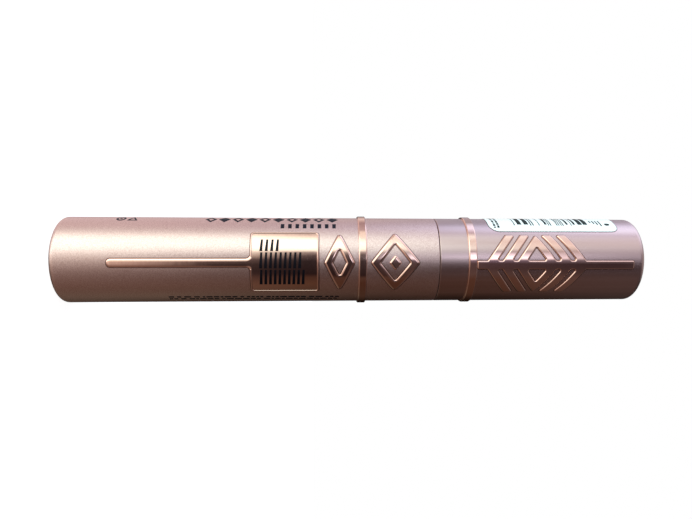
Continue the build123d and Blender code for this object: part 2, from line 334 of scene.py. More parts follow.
def bend_round(bm, turn):
    """Cuts a flat shape into narrow strips and lays it on the outside cone."""
    low = min(v.co.x for v in bm.verts)
    high = max(v.co.x for v in bm.verts)
    strips = math.ceil((high - low) / BEND_STEP)
    for i in range(1, strips):
        cut(bm, (low + (high - low) * i / strips, 0, 0), (1, 0, 0))
    for vertex in bm.verts:
        s, z, level = vertex.co
        angle = s / outer_radius(z) + turn
        radius = outer_radius(z) + level
        vertex.co = (-radius * math.sin(angle), -radius * math.cos(angle), z)
    bmesh.ops.recalc_face_normals(bm, faces=bm.faces)
    if bm.calc_volume(signed=True) < 0:
        bmesh.ops.reverse_faces(bm, faces=bm.faces)


def relief_normals(mesh, height):
    """Normals that make a relief's top as smooth as the cone under it."""
    normals = []
    for vertex in mesh.vertices:
        out = Vector((vertex.co.x, vertex.co.y, 0))
        if out.length - outer_radius(vertex.co.z) > height - TOP_MARGIN:
            normals.append((out.normalized() + Vector((0, 0, CONE_SLOPE))).normalized())
        else:
            normals.append(vertex.normal.copy())
    return normals


def wrapped(
    name,
    shapes,
    body,
    slot,
    material,
    replaced=(),
    height=RELIEF_HEIGHT,
    bevel=0.0,
    base=0.0,
    turn=0.0,
    end=None,
):
    """A piece made of flat raised shapes laid on the outside cone. A shape is its outline and its holes."""
    everything = bmesh.new()
    for loops in shapes:
        bm = relief_shape(loops, height, bevel, base, end)
        bend_round(bm, turn)
        mesh = bpy.data.meshes.new(name + "_shape")
        bm.to_mesh(mesh)
        bm.free()
        everything.from_mesh(mesh)
        bpy.data.meshes.remove(mesh)
    mesh = bpy.data.meshes.new(name)
    everything.to_mesh(mesh)
    everything.free()
    mesh.shade_smooth()
    if bevel == 0:
        mesh.set_sharp_from_angle(angle=math.radians(40))
    else:
        mesh.normals_split_custom_set_from_vertices(relief_normals(mesh, base + height))
    add_piece(name, mesh, body, material, replaced)


# ---------------- materials


def new_material(name, **sockets):
    """A material with one Principled shader whose plain values are set on its own sockets."""
    material = bpy.data.materials.new(name)
    material.use_nodes = True
    tree = material.node_tree
    shader = tree.nodes["Principled BSDF"]
    for socket, value in sockets.items():
        shader.inputs[socket.replace("_", " ")].default_value = value
    return material, tree, shader


def add_node(tree, kind, inputs=None, **settings):
    """Adds a node. inputs maps a socket's name or number to a value or to another node's output."""
    node = tree.nodes.new(kind)
    for key, value in settings.items():
        setattr(node, key, value)
    for key, value in (inputs or {}).items():
        if isinstance(value, bpy.types.NodeSocket):
            tree.links.new(value, node.inputs[key])
        else:
            node.inputs[key].default_value = value
    return node


def object_place(tree, stretch=(1, 1, 1)):
    """The place on the piece itself, in metres, stretched along its axes."""
    place = add_node(tree, "ShaderNodeTexCoord").outputs["Object"]
    return add_node(tree, "ShaderNodeMapping", {"Vector": place, "Scale": stretch}).outputs["Vector"]


def noise(tree, place, scale, detail=2.0, roughness=0.5):
    """Soft noise from 0 to 1."""
    inputs = {"Vector": place, "Scale": scale, "Detail": detail, "Roughness": roughness}
    return add_node(tree, "ShaderNodeTexNoise", inputs).outputs["Fac"]


def ranged(tree, value, low, high, from_low=0.3, from_high=0.7):
    """A value brought from one range to another."""
    limits = {"From Min": from_low, "From Max": from_high, "To Min": low, "To Max": high}
    return add_node(tree, "ShaderNodeMapRange", {"Value": value, **limits}).outputs["Result"]


def mixed(tree, factor, first, second):
    """A colour between two colours or outputs."""
    node = add_node(tree, "ShaderNodeMix", data_type="RGBA")
    tree.links.new(factor, node.inputs[0])
    for index, value in ((6, first), (7, second)):
        if isinstance(value, bpy.types.NodeSocket):
            tree.links.new(value, node.inputs[index])
        else:
            node.inputs[index].default_value = (*value, 1)
    return node.outputs[2]


def bump(tree, shader, height, strength, distance):
    """Gives the shader a bump from a height."""
    node = add_node(tree, "ShaderNodeBump", {"Height": height, "Strength": strength, "Distance": distance})
    tree.links.new(node.outputs["Normal"], shader.inputs["Normal"])


def look(tree, shader, colour, roughness):
    """Gives the shader its colour and its roughness from other nodes."""
    tree.links.new(colour, shader.inputs["Base Color"])
    tree.links.new(roughness, shader.inputs["Roughness"])


def bottle_paint():
    """Satin metallic pink with a fine flake that sparkles in the highlight."""
    material, tree, shader = new_material("bottle_paint", Metallic=1.0)
    flake = noise(tree, object_place(tree), 5200, 3)
    cloud = noise(tree, object_place(tree, (1, 1, 0.4)), 160, 3)
    colour = mixed(tree, ranged(tree, flake, 0, 1, 0.35, 0.65), (0.68, 0.465, 0.425), (0.88, 0.67, 0.62))
    look(tree, shader, colour, ranged(tree, cloud, 0.37, 0.43))
    bump(tree, shader, flake, 0.45, 0.00003)
    return material


def cap_paint():
    """Half-gloss metallic pink, faintly streaked along the axis."""
    material, tree, shader = new_material("cap_paint", Metallic=1.0, Coat_Weight=0.25, Coat_Roughness=0.08)
    streak = noise(tree, object_place(tree, (1, 1, 0.02)), 700)
    flake = noise(tree, object_place(tree), 6000)
    colour = mixed(tree, ranged(tree, streak, 0, 1), (0.63, 0.45, 0.42), (0.70, 0.51, 0.48))
    look(tree, shader, colour, ranged(tree, streak, 0.28, 0.34))
    bump(tree, shader, flake, 0.12, 0.00002)
    return material


def foil():
    """Mirror-bright rose-gold foil with a slight ripple."""
    material, tree, shader = new_material("foil", Metallic=1.0)
    ripple = noise(tree, object_place(tree), 420)
    wear = noise(tree, object_place(tree), 2600, 3)
    colour = mixed(tree, ranged(tree, wear, 0, 1), (0.86, 0.55, 0.45), (0.90, 0.60, 0.50))
    look(tree, shader, colour, ranged(tree, wear, 0.04, 0.09))
    bump(tree, shader, ripple, 0.25, 0.00004)
    return material


def shade_strip_paint():
    """Darkened metallic pink for the thin strips round the raised foil: painted shade where the foil meets
    the shell.
    """
    material, tree, shader = new_material("shade_strip_paint", Metallic=1.0)
    cloud = noise(tree, object_place(tree), 900)
    colour = mixed(tree, ranged(tree, cloud, 0, 1), (0.26, 0.165, 0.15), (0.32, 0.21, 0.19))
    look(tree, shader, colour, ranged(tree, cloud, 0.34, 0.42))
    return material


def moulded_plastic(name, dark, light, low_rough, high_rough):
    """Plain moulded plastic with faint clouding and a fine moulded texture."""
    material, tree, shader = new_material(name)
    cloud = noise(tree, object_place(tree), 300, 3)
    grain = noise(tree, object_place(tree), 5000)
    colour = mixed(tree, ranged(tree, cloud, 0, 1), dark, light)
    look(tree, shader, colour, ranged(tree, grain, low_rough, high_rough))
    bump(tree, shader, grain, 0.1, 0.00002)
    return material


def paper(name, colour):
    """Coated paper with a faint fibre and a slight tint."""
    material, tree, shader = new_material(name, Specular_IOR_Level=0.4)
    fibre = noise(tree, object_place(tree, (1, 1, 0.5)), 3500, 4)
    darker = tuple(c * 0.965 for c in colour)
    look(tree, shader, mixed(tree, ranged(tree, fibre, 0, 1), darker, colour), ranged(tree, fibre, 0.3, 0.42))
    bump(tree, shader, fibre, 0.08, 0.00001)
    return material


def ink_and_shade(name, colour, low_rough, high_rough):
    """A printed mark's colour, a little uneven; also used for the painted shadow round the paper label."""
    material, tree, shader = new_material(name, Specular_IOR_Level=0.15)
    patch = noise(tree, object_place(tree), 2500, 3)
    uneven = mixed(tree, ranged(tree, patch, 0, 1), colour, tuple(c * 1.4 for c in colour))
    look(tree, shader, uneven, ranged(tree, patch, low_rough, high_rough))
    return material


def wet_mascara():
    """Wet black cream, dragged into lumps."""
    material, tree, shader = new_material("mascara", Coat_Weight=0.4, Coat_Roughness=0.15)
    lump = noise(tree, object_place(tree, (1, 1, 0.5)), 700, 4, 0.6)
    colour = mixed(tree, ranged(tree, lump, 0, 1), (0.004, 0.004, 0.005), (0.015, 0.013, 0.013))
    look(tree, shader, colour, ranged(tree, lump, 0.22, 0.5))
    bump(tree, shader, lump, 0.7, 0.0003)
    return material


BOTTLE_PAINT = bottle_paint()
CAP_PAINT = cap_paint()
FOIL = foil()
# Painted shade: the dark paint of the thin strips round the raised foil
SHADE_STRIP_PAINT = shade_strip_paint()
VIAL = moulded_plastic("vial_plastic", (0.62, 0.59, 0.56), (0.68, 0.65, 0.62), 0.28, 0.38)
LINER = moulded_plastic("liner_plastic", (0.03, 0.028, 0.028), (0.045, 0.042, 0.04), 0.35, 0.45)
WIPER = moulded_plastic("wiper_plastic", (0.66, 0.64, 0.62), (0.74, 0.72, 0.70), 0.4, 0.5)
SEAL = moulded_plastic("seal_rubber", (0.78, 0.77, 0.75), (0.86, 0.85, 0.83), 0.6, 0.75)
STEM = moulded_plastic("stem_plastic", (0.012, 0.012, 0.012), (0.03, 0.028, 0.028), 0.16, 0.3)
BRUSH = moulded_plastic("brush_plastic", (0.008, 0.008, 0.008), (0.02, 0.019, 0.019), 0.35, 0.5)
MASCARA = wet_mascara()
LABEL_PAPER = paper("label_paper", (0.80, 0.90, 0.895))
# Painted shadow: the dark rim round the paper label, standing in for the shade under its edge
LABEL_SHADOW_INK = ink_and_shade("label_edge_shadow", (0.05, 0.035, 0.035), 0.4, 0.6)
BASE_PAPER = paper("base_label_paper", (0.86, 0.84, 0.82))
PLAQUE_INK = ink_and_shade("plaque_ink", (0.006, 0.006, 0.010), 0.3, 0.45)
DARK_INK = ink_and_shade("dark_ink", (0.006, 0.007, 0.014), 0.45, 0.6)
LABEL_INK = ink_and_shade("label_ink", (0.012, 0.022, 0.019), 0.4, 0.55)

# ---------------- bottle

SLEEVE_BORE = 8.4 * MM
SLEEVE_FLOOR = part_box("inner_vial")[0].z
RECESS_RADIUS = 7.0 * MM
RECESS_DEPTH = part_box("base_label")[1].z


def bottle_shell():
    """The sleeve, open at the seam, with a shallow recess in its base."""
    profile = rounded(
        [
            (0, RECESS_DEPTH), (RECESS_RADIUS, RECESS_DEPTH), (RECESS_RADIUS, 0), (outer_radius(0), 0),
            (outer_radius(SEAM), SEAM), (SLEEVE_BORE, SEAM), (SLEEVE_BORE, SLEEVE_FLOOR),
            (0, SLEEVE_FLOOR),
        ],
        [0, 0.1 * MM, 0.2 * MM, END_ROUND, SEAM_ROUND, 0.1 * MM, 0.2 * MM, 0],
        steps=8,
    )
    turned("bottle_shell", profile, "bottle", BOTTLE_PAINT, ["bottle_sleeve"], SHELL_SEGMENTS)


def carried_over_nodes():
    """The mascara and the base label keep their CAD meshes and get materials."""
    for node, material in (("mascara_fill", MASCARA), ("base_label", BASE_PAPER)):
        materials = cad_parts[node].data.materials
        materials.clear()
        materials.append(material)


VIAL_RADIUS = 7.2 * MM
VIAL_BORE = 6.0 * MM
VIAL_FLOOR = 1.2 * MM
FLANGE_RADIUS = 8.36 * MM
FLANGE_HEIGHT = 6.9 * MM
FLANGE_TOP = SEAM - 0.4 * MM
NECK_RADIUS = 5.7 * MM
NECK_BORE = 4.4 * MM
NECK_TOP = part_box("inner_vial")[1].z
NECK_BORE_LOW = NECK_TOP - 13.0 * MM
NECK_CONE = 4.0 * MM
NECK_THREAD_CREST = 6.6 * MM
NECK_THREAD_LOW = SEAM + 2.2 * MM
NECK_THREAD_TURNS = 1.5


def vial():
    """The vial: its body, the flange that fits the sleeve, and the threaded neck."""
    profile = rounded(
        [
            (0, SLEEVE_FLOOR), (VIAL_RADIUS, SLEEVE_FLOOR), (VIAL_RADIUS, FLANGE_TOP - FLANGE_HEIGHT),
            (FLANGE_RADIUS, FLANGE_TOP - FLANGE_HEIGHT), (FLANGE_RADIUS, FLANGE_TOP),
            (NECK_RADIUS, FLANGE_TOP), (NECK_RADIUS, NECK_TOP), (NECK_BORE, NECK_TOP),
            (NECK_BORE, NECK_BORE_LOW), (VIAL_BORE, NECK_BORE_LOW - NECK_CONE),
            (VIAL_BORE, SLEEVE_FLOOR + VIAL_FLOOR), (0, SLEEVE_FLOOR + VIAL_FLOOR),
        ],
        mm(0, 0.5, 0, 0.3, 0.3, 0.5, 0.25, 0.1, 1, 1, 0.8, 0),
    )
    bm = bmesh.new()
    add_lathe(bm, eased(profile), THREADED_SEGMENTS)
    add_thread(bm, NECK_RADIUS, NECK_THREAD_CREST, NECK_THREAD_LOW, NECK_THREAD_TURNS)
    add_piece("vial_body", finish_mesh(bm, "vial_body"), "bottle", VIAL, ["inner_vial"])


def foil_band(name, node, body):
    """A raised band round the tube, as high as its CAD node."""
    low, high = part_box(node)
    inner = outer_radius((low.z + high.z) / 2) - 0.1 * MM
    profile = rounded(
        [(inner, low.z), (high.x, low.z), (high.x, high.z), (inner, high.z)],
        [0, BAND_ROUND, BAND_ROUND, 0],
    )
    turned(name, profile, body, FOIL, [node], SHELL_SEGMENTS)


def shade_strip(name, shape, body, turn=0.0, height=0.012 * MM):
    """A thin dark strip laid on the shell round a raised shape: painted shade where the foil meets the shell.
    """
    wrapped(name, [grown(shape, SHADE_STRIP_WIDTH)], body, "foil", SHADE_STRIP_PAINT, height=height, turn=turn)


# The line runs into the plaque: it flares out to meet the plaque's frame, which has a gap there
LINE_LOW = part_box("bottle_line")[0].z
PLAQUE_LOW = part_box("bottle_plaque")[0].z
PLAQUE_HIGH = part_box("bottle_plaque")[1].z
PLAQUE_REACH = RELIEF_HALF_ANGLE * outer_radius(PLAQUE_HIGH)
PANEL_LOW = PLAQUE_LOW + PLAQUE_RIM
PANEL_HIGH = PLAQUE_HIGH - PLAQUE_RIM
PANEL_REACH = PLAQUE_REACH - PLAQUE_RIM
FRAME_BEVEL = 0.19 * MM
FRAME_ROUND = 0.6 * MM
PANEL_ROUND = 0.4 * MM
LINE_BEVEL = 0.75 * MM
LINE_ROUND = 0.85 * MM
LINE_FLARE = 0.9 * MM
LINE_HIGH = PANEL_LOW - 0.05 * MM


def line_outline():
    """The line with its flare, drawn on past its upper end so that the cut there is full height."""
    reach = LINE_HALF + 2.5 * LINE_FLARE
    overrun = LINE_HIGH + 2 * LINE_BEVEL
    return rounded(
        [
            (LINE_HALF, LINE_LOW), (LINE_HALF, PLAQUE_LOW), (reach, PLAQUE_LOW), (reach, overrun),
            (-reach, overrun), (-reach, PLAQUE_LOW), (-LINE_HALF, PLAQUE_LOW), (-LINE_HALF, LINE_LOW),
        ],
        [LINE_ROUND, LINE_FLARE, 0, 0, 0, 0, LINE_FLARE, LINE_ROUND],
    )


def plaque_outline():
    """The whole plaque, rim and all."""
    return rounded(box_outline(-PLAQUE_REACH, PLAQUE_REACH, PLAQUE_LOW, PLAQUE_HIGH), FRAME_ROUND)


def frame_outline():
    """The plaque's rim, open where the line comes in."""
    gap = LINE_HALF + 0.3 * MM
    return rounded(
        [
            (gap, PLAQUE_LOW), (PLAQUE_REACH, PLAQUE_LOW), (PLAQUE_REACH, PLAQUE_HIGH),
            (-PLAQUE_REACH, PLAQUE_HIGH), (-PLAQUE_REACH, PLAQUE_LOW), (-gap, PLAQUE_LOW),
            (-gap, PANEL_LOW), (-PANEL_REACH, PANEL_LOW), (-PANEL_REACH, PANEL_HIGH),
            (PANEL_REACH, PANEL_HIGH), (PANEL_REACH, PANEL_LOW), (gap, PANEL_LOW),
        ],
        [0] + [FRAME_ROUND] * 4 + [0, 0] + [PANEL_ROUND] * 4 + [0],
    )


def panel_outline():
    """The plaque's panel, which goes a little way under the rim."""
    under = 0.05 * MM
    reach = PANEL_REACH + under
    return rounded(box_outline(-reach, reach, PANEL_LOW - under, PANEL_HIGH + under), PANEL_ROUND)


def foil_line_and_plaque():
    """The line, the plaque's rim and panel, and the strips of painted shade round them."""
    line = [line_outline()]
    wrapped("foil_line", [line], "bottle", "foil", FOIL, ["bottle_line"], bevel=LINE_BEVEL, end=LINE_HIGH)
    wrapped("plaque_frame", [[frame_outline()]], "bottle", "foil", FOIL, ["bottle_plaque"], bevel=FRAME_BEVEL)
    wrapped("plaque_panel", [[panel_outline()]], "bottle", "foil", FOIL, height=PANEL_HEIGHT)
    shade_strip("line_shade_strip", line, "bottle")
    shade_strip("plaque_shade_strip", [plaque_outline()], "bottle", height=0.018 * MM)


DIAMOND_ROUND = 0.5 * MM
DIAMOND_HOLE_ROUND = 0.3 * MM


def diamond_shapes(node, core_share=0.0):
    """A diamond ring as large as its CAD node, and the small diamond in it if it has one."""
    low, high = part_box(node)
    middle = (low.z + high.z) / 2
    half = (high.z - low.z) / 2
    reach = RELIEF_HALF_ANGLE * outer_radius(middle)
    inner = 1 - STROKE * math.hypot(reach, half) / (reach * half)
    ring = [
        rounded(diamond_outline(middle, reach, half), DIAMOND_ROUND),
        rounded(diamond_outline(middle, reach * inner, half * inner), DIAMOND_HOLE_ROUND),
    ]
    shapes = [ring]
    if core_share:
        shapes.append([rounded(diamond_outline(middle, reach * core_share, half * core_share), CORNER)])
    return shapes


def foil_diamonds():
    """The two diamonds and the strips of painted shade round their rings."""
    small = diamond_shapes("small_diamond")
    large = diamond_shapes("large_diamond", 0.26)
    shade_strip("small_diamond_shade_strip", small[0], "bottle")
    shade_strip("large_diamond_shade_strip", large[0], "bottle")
    wrapped("small_foil_diamond", small, "bottle", "foil", FOIL, ["small_diamond"], bevel=DOMED_BEVEL)
    wrapped("large_foil_diamond", large, "bottle", "foil", FOIL, ["large_diamond"], bevel=DOMED_BEVEL)


# ---------------- wiper and seal

WIPER_LOW, WIPER_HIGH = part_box("wiper")
WIPER_RADIUS = 4.35 * MM
WIPER_BORE = 3.3 * MM
WIPER_LIP_BORE = 2.08 * MM
WIPER_LIP_WALL = 0.45 * MM
WIPER_CONE = 4.8 * MM
SEAL_LOW, SEAL_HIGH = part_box("seal_ring")
SEAL_BORE = 2.5 * MM


def wiper():
    """The wiper: a flange on the neck's rim and a sleeve that narrows to the lip."""
    profile = rounded(
        [
            (WIPER_BORE, WIPER_HIGH.z), (WIPER_HIGH.x, WIPER_HIGH.z), (WIPER_HIGH.x, NECK_TOP),
            (WIPER_RADIUS, NECK_TOP), (WIPER_RADIUS, WIPER_LOW.z + WIPER_CONE),
            (WIPER_LIP_BORE + WIPER_LIP_WALL, WIPER_LOW.z), (WIPER_LIP_BORE, WIPER_LOW.z),
            (WIPER_BORE, WIPER_LOW.z + WIPER_CONE),
        ],
        mm(0.2, 0.15, 0.1, 0.1, 0.5, 0.12, 0.12, 0.5),
    )
    turned("wiper_insert", profile, "wiper", WIPER, ["wiper"])


def seal():
    """The sealing washer on the wiper's flange."""
    profile = rounded(
        [
            (SEAL_BORE, SEAL_LOW.z), (SEAL_HIGH.x, SEAL_LOW.z), (SEAL_HIGH.x, SEAL_HIGH.z),
            (SEAL_BORE, SEAL_HIGH.z),
        ],
        0.12 * MM,
    )
    turned("seal_washer", profile, "seal", SEAL, ["seal_ring"])


# ---------------- cap

CAP_BORE = 8.1 * MM
CAP_UPPER_BORE = 7.7 * MM
CAP_CEILING = LENGTH - 1.6 * MM
LINER_CEILING_TOP = 100.4 * MM


def cap_body():
    """The cap's shell, closed at the top and wider inside where the liner sits."""
    profile = rounded(
        [
            (CAP_BORE, CAP_LOW.z), (outer_radius(CAP_LOW.z), CAP_LOW.z), (outer_radius(LENGTH), LENGTH),
            (0, LENGTH), (0, CAP_CEILING), (CAP_UPPER_BORE, CAP_CEILING),
            (CAP_UPPER_BORE, LINER_CEILING_TOP), (CAP_BORE, LINER_CEILING_TOP),
        ],
        [0.1 * MM, SEAM_ROUND, END_ROUND, 0, 0, 0.3 * MM, 0, 0],
        steps=8,
    )
    turned("cap_body", profile, "wand", CAP_PAINT, ["cap_shell"], SHELL_SEGMENTS)


# Cap relief: a line crossed by a diamond and two chevrons on each side of it, as one outline
RELIEF_LOW, RELIEF_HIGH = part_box("cap_relief")
MIDDLE = 107.65 * MM
RISE = 5.05 * MM  # of the diamond's sides, from its middle to where they would meet
REACH = RELIEF_HALF_ANGLE * outer_radius(MIDDLE)
SLOPE = RISE / REACH
BREADTH = STROKE * math.hypot(REACH, RISE) / REACH
CHEVRON_STEPS = (3.4 * MM, 6.8 * MM)


def relief_side():
    """The corners down one side of the relief's outline, from the line's foot to its upper end."""
    corners = []
    for step in reversed(CHEVRON_STEPS):
        wing = MIDDLE - step
        foot = wing - RISE + SLOPE * LINE_HALF
        corners += [(LINE_HALF, foot), (REACH, wing), (REACH, wing + BREADTH), (LINE_HALF, foot + BREADTH)]
    root = RISE - SLOPE * LINE_HALF
    mirrored = [(s, 2 * MIDDLE - z) for s, z in reversed(corners)]
    diamond = [(LINE_HALF, MIDDLE - root), (REACH, MIDDLE), (LINE_HALF, MIDDLE + root)]
    return [(LINE_HALF, RELIEF_LOW.z)] + corners + diamond + mirrored + [(LINE_HALF, RELIEF_HIGH.z)]


def relief_loops():
    """The relief's outline and the two windows in its diamond, one on each side of the line."""
    side = relief_side()
    outline = rounded(side + [(-s, z) for s, z in reversed(side)], CORNER, steps=5)
    share = 1 - STROKE * math.hypot(REACH, RISE) / (REACH * RISE)
    root = (RISE - SLOPE * LINE_HALF / share) * share
    window = rounded(
        [(LINE_HALF, MIDDLE - root), (REACH * share, MIDDLE), (LINE_HALF, MIDDLE + root)], 0.28 * MM, steps=5
    )
    return [outline, window, [Vector((-s, z)) for s, z in window]]


def foil_relief():
    """The cap's relief and the strip of painted shade round it."""
    loops = relief_loops()
    shade_strip("cap_relief_shade_strip", loops, "wand", CAP_TURN)
    wrapped(
        "cap_foil_relief", [loops], "wand", "foil", FOIL, ["cap_relief"], bevel=RELIEF_BEVEL, turn=CAP_TURN
    )


LINER_RADIUS = 8.06 * MM
LINER_BORE = 6.85 * MM
LINER_CEILING = SEAL_HIGH.z + 0.1 * MM
LINER_THREAD_CREST = 6.0 * MM
LINER_THREAD_LOW = NECK_THREAD_LOW + PITCH / 2
LINER_THREAD_TURNS = 1.25
BOSS_RADIUS = 4.0 * MM
STEM_HEAD_RADIUS = 2.2 * MM
LINER_LOW, LINER_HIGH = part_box("cap_liner")
STEM_LOW, STEM_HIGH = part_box("stem")


def liner():
    """The cap's threaded liner, with the boss that holds the stem's head."""
    profile = rounded(
        [
            (LINER_BORE, LINER_LOW.z), (LINER_RADIUS, LINER_LOW.z), (LINER_RADIUS, LINER_CEILING_TOP),
            (BOSS_RADIUS, LINER_CEILING_TOP), (BOSS_RADIUS, LINER_HIGH.z), (0, LINER_HIGH.z),
            (0, STEM_HIGH.z), (STEM_HEAD_RADIUS, STEM_HIGH.z), (STEM_HEAD_RADIUS, LINER_CEILING),
            (LINER_BORE, LINER_CEILING),
        ],
        mm(0.2, 0.2, 0.2, 0.5, 0.3, 0, 0, 0, 0, 0.3),
    )
    bm = bmesh.new()
    add_lathe(bm, eased(profile), THREADED_SEGMENTS)
    add_thread(bm, LINER_BORE, LINER_THREAD_CREST, LINER_THREAD_LOW, LINER_THREAD_TURNS)
    add_piece("liner_body", finish_mesh(bm, "liner_body"), "wand", LINER, ["cap_liner"])


# ---------------- wand

STEM_RADIUS = 2.0 * MM
SHANK_RADIUS = 0.95 * MM
SHANK_LENGTH = 7.0 * MM


def stem():
    """The wand's rod: its head, the rod, and the hole for the brush's shank."""
    profile = rounded(
        [
            (0, STEM_HIGH.z), (STEM_HEAD_RADIUS, STEM_HIGH.z), (STEM_HEAD_RADIUS, LINER_CEILING),
            (STEM_RADIUS, LINER_CEILING), (STEM_RADIUS, STEM_LOW.z), (SHANK_RADIUS, STEM_LOW.z),
            (SHANK_RADIUS, STEM_LOW.z + SHANK_LENGTH), (0, STEM_LOW.z + SHANK_LENGTH),
        ],
        mm(0, 0.2, 0, 0.1, 0.6, 0, 0, 0),
    )
    turned("stem_rod", profile, "wand", STEM, ["stem"])


CORE_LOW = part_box("brush_core")[0].z
SHANK_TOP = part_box("brush_core")[1].z
CORE_TIP_RADIUS = 0.65 * MM
CORE_TOP_RADIUS = 1.2 * MM
COLLAR_RADIUS = 1.5 * MM
COLLAR_LOW = STEM_LOW.z - 1.2 * MM
CORE_SEGMENTS = 64


def brush_core():
    """The brush's core: a cone, a collar under the stem's end, and the shank in the stem."""
    shank = SHANK_RADIUS - 0.02 * MM
    profile = rounded(
        [
            (0, CORE_LOW), (CORE_TIP_RADIUS, CORE_LOW), (CORE_TOP_RADIUS, COLLAR_LOW),
            (COLLAR_RADIUS, COLLAR_LOW), (COLLAR_RADIUS, STEM_LOW.z), (shank, STEM_LOW.z),
            (shank, SHANK_TOP), (0, SHANK_TOP),
        ],
        mm(0, 0.55, 0.2, 0.3, 0.1, 0, 0, 0),
    )
    turned("brush_spine", profile, "wand", BRUSH, ["brush_core"], CORE_SEGMENTS)


BRISTLES_LOW, BRISTLES_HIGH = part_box("bristles")
BRISTLE_TIP_REACH = 1.9 * MM
BRISTLE_TOP_REACH = 3.1 * MM
BRISTLE_ROOT = 0.17 * MM
BRISTLE_POINT = 0.05 * MM
BRISTLE_SIDES = 6
BRISTLE_RINGS = 46
BRISTLES_AROUND = 14


def add_bristle(bm, angle, z, inner, outer, lean):
    """Adds one tapering bristle."""
    outwards = Vector((math.cos(angle), math.sin(angle), 0))
    sideways = Vector((-outwards.y, outwards.x, 0))
    upwards = Vector((0, 0, 1))
    rings = []
    for share, thickness in ((0, 1.5), (0.12, 1.0), (0.6, 0.7), (1, BRISTLE_POINT / BRISTLE_ROOT)):
        centre = outwards * (inner + (outer - inner) * share) + upwards * (z + lean * share * share)
        radius = BRISTLE_ROOT * thickness
        ring = []
        for i in range(BRISTLE_SIDES):
            turn = 2 * math.pi / BRISTLE_SIDES * i
            spoke = sideways * math.cos(turn) + upwards * math.sin(turn)
            ring.append(bm.verts.new(centre + spoke * radius))
        rings.append(ring)
    join_rings(bm, rings)
    bm.faces.new(rings[0])
    bm.faces.new(rings[-1])


def bristles():
    """Rings of bristles up the core, every other ring turned by half a step, all a little uneven."""
    scatter = random.Random(7)
    bm = bmesh.new()
    for ring in range(BRISTLE_RINGS):
        share = ring / (BRISTLE_RINGS - 1)
        z = BRISTLES_LOW.z + BRISTLE_ROOT + (BRISTLES_HIGH.z - BRISTLES_LOW.z - 2 * BRISTLE_ROOT) * share
        envelope = BRISTLE_TIP_REACH + (BRISTLE_TOP_REACH - BRISTLE_TIP_REACH) * share
        core_share = (z - CORE_LOW) / (STEM_LOW.z - CORE_LOW)
        core = CORE_TIP_RADIUS + (CORE_TOP_RADIUS - CORE_TIP_RADIUS) * core_share
        for number in range(BRISTLES_AROUND):
            angle = 2 * math.pi * (number + (ring % 2) / 2) / BRISTLES_AROUND + scatter.uniform(-0.03, 0.03)
            outer = envelope * scatter.uniform(0.93, 1.0)
            add_bristle(bm, angle, z, core - 0.1 * MM, outer, scatter.uniform(-0.12, 0.12) * MM)
    mesh = finish_mesh(bm, "brush_bristles", 60)
    add_piece("brush_bristles", mesh, "wand", BRUSH, ["bristles"])


# ---------------- paper label and print

LABEL_LOW, LABEL_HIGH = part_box("cap_label")
LABEL_RADIUS = outer_radius((LABEL_LOW.z + LABEL_HIGH.z) / 2)
LABEL_FRONT = math.radians(45.5) * LABEL_RADIUS
LABEL_BACK = math.radians(175.0) * LABEL_RADIUS
LABEL_FOOT_CORNER = 2.4 * MM
LABEL_CORNER = 1.6 * MM
LABEL_HEIGHT = 0.09 * MM
LABEL_BEVEL = 0.03 * MM
# The dark rim round the label is painted shadow under its edge
SHADOW_RIM_WIDTH = 0.12 * MM
SHADOW_RIM_HEIGHT = 0.03 * MM
INK_HEIGHT = 0.015 * MM


def label():
    """The paper label round the cap's side, with a thin dark rim round it that is painted shadow under the
    label's edge.
    """
    outline = rounded(
        box_outline(LABEL_FRONT, LABEL_BACK, LABEL_LOW.z, LABEL_HIGH.z),
        [LABEL_FOOT_CORNER, LABEL_CORNER, LABEL_CORNER, LABEL_CORNER],
        steps=8,
    )
    shadow_rim = [inset(outline, -SHADOW_RIM_WIDTH)]
    wrapped("label_edge", [shadow_rim], "wand", "label_paper", LABEL_SHADOW_INK, height=SHADOW_RIM_HEIGHT)
    sheet = {"height": LABEL_HEIGHT, "bevel": LABEL_BEVEL}
    wrapped("paper_label", [[outline]], "wand", "label_paper", LABEL_PAPER, ["cap_label"], **sheet)


def strip(s_low, s_high, z_low, z_high):
    """A plain rectangle as a shape with no holes."""
    return [box_outline(s_low, s_high, z_low, z_high)]


def label_bars(draw):
    """Bars of random width across the label, which carry no code. The thick ones start a little later."""
    marks = []
    z = LABEL_LOW.z + 6.0 * MM
    while z < LABEL_HIGH.z - 6.6 * MM:
        width = draw.choice((0.2, 0.2, 0.25, 0.25, 0.5, 1.0)) * MM
        start = (2.5 if width > 0.3 * MM else 2.1) * MM
        marks.append(strip(LABEL_FRONT + start, LABEL_FRONT + 13.0 * MM, z, z + width))
        z += width + draw.choice((0.25, 0.3, 0.4, 0.6, 1.2)) * MM
    return marks


def label_dashes(draw):
    """Two rows of short dashes at the label's foot, where small print would be."""
    marks = []
    for row in range(2):
        s = LABEL_FRONT + 1.2 * MM
        z = LABEL_LOW.z + (1.1 + 0.85 * row) * MM
        while s < LABEL_FRONT + 14 * MM:
            length = draw.uniform(0.4, 1.0) * MM
            marks.append(strip(s, s + length, z, z + 0.5 * MM))
            s += length + 0.25 * MM
    return marks


def label_head():
    """Four short ticks and a dot at the label's head."""
    marks = []
    for i in range(4):
        z = LABEL_HIGH.z - (5.6 - 0.7 * i) * MM
        marks.append(strip(LABEL_FRONT + (3.4 - 0.5 * i) * MM, LABEL_FRONT + 4.6 * MM, z, z + 0.3 * MM))
    marks.append([ellipse_outline(LABEL_FRONT + 2.6 * MM, LABEL_HIGH.z - 1.9 * MM, 1.0 * MM, 1.2 * MM)])
    return marks


